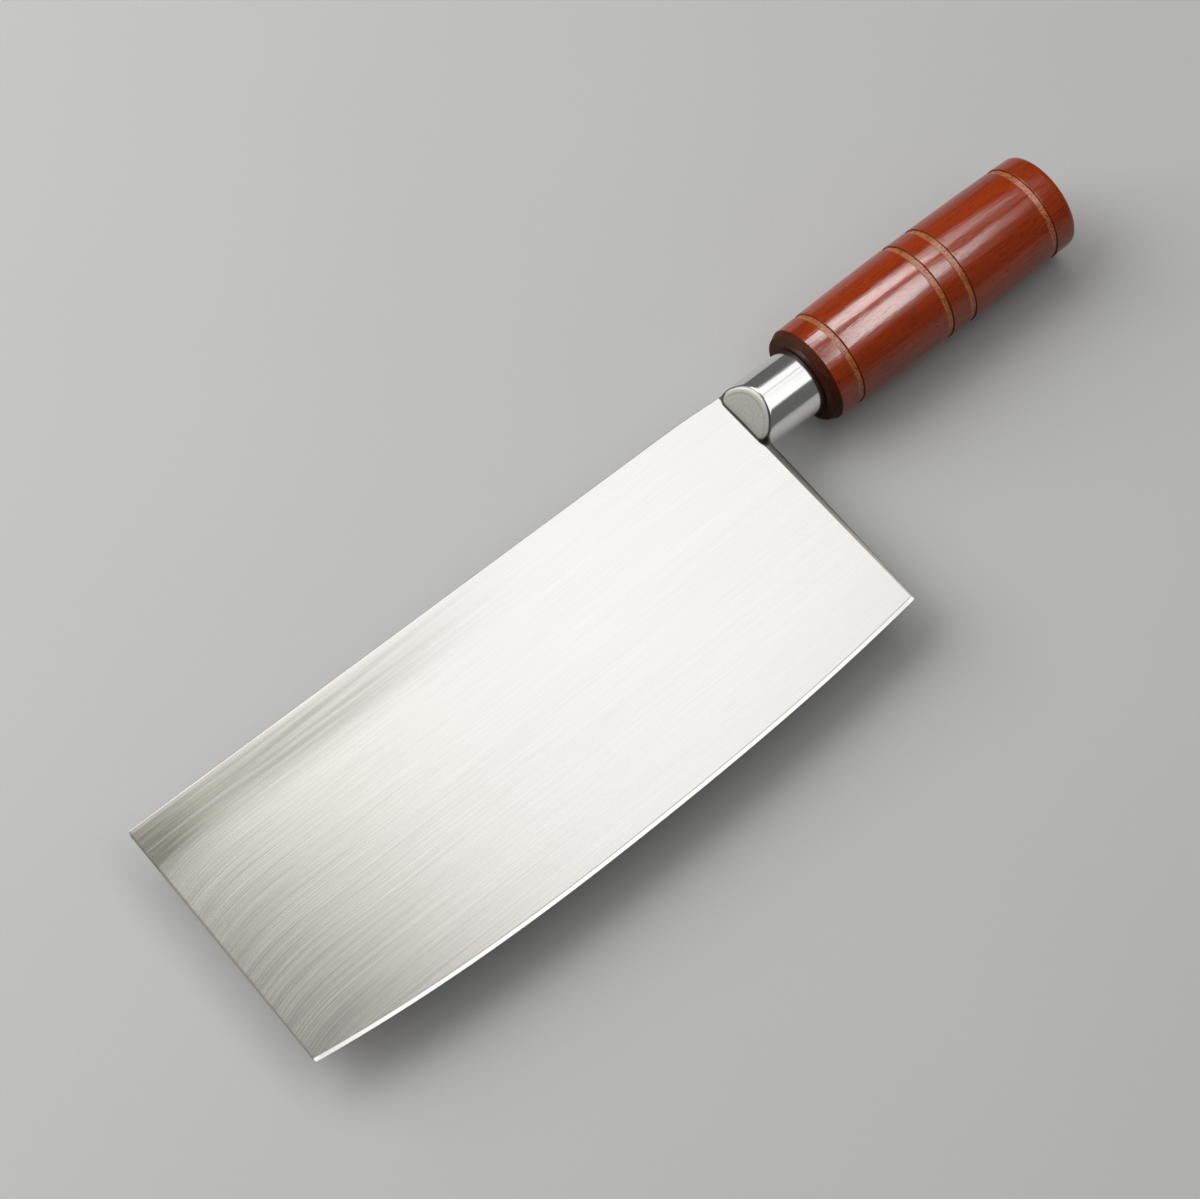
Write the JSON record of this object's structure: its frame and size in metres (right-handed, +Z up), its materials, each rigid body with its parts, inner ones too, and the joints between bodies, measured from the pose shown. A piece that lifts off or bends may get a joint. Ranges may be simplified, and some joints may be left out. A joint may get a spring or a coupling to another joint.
{
  "type": "chinese cleaver",
  "caption": "Chinese cleaver: wide satin steel blade with a curved cutting edge, round polished collar with slanted cheeks, turned lacquered wooden handle.",
  "frame": {"origin": "middle of the knife's footprint, on the surface that the handle touches when the knife lies on its side", "axes": "+X along the handle towards the butt, +Y from the cutting edge towards the spine, +Z up, square to the blade's middle plane"},
  "size_m": [0.341, 0.098, 0.0335],
  "materials": {
    "blade_steel": "satin, ground along the blade",
    "collar_steel": "mirror polished round, satin on the slanted cheeks",
    "handle_wood": "red-brown stain under gloss lacquer, bare in the grooves",
    "tang_steel": "turned, peened at the butt",
    "washer_steel": "satin",
    "adhesive": "cured resin"
  },
  "bodies": {
    "root": {"blade": "blade_steel", "collar": "collar_steel", "handle": "handle_wood", "tang_rod": "tang_steel", "butt_washer": "washer_steel", "bonding_sleeve": "adhesive"}
  },
  "joints": []
}
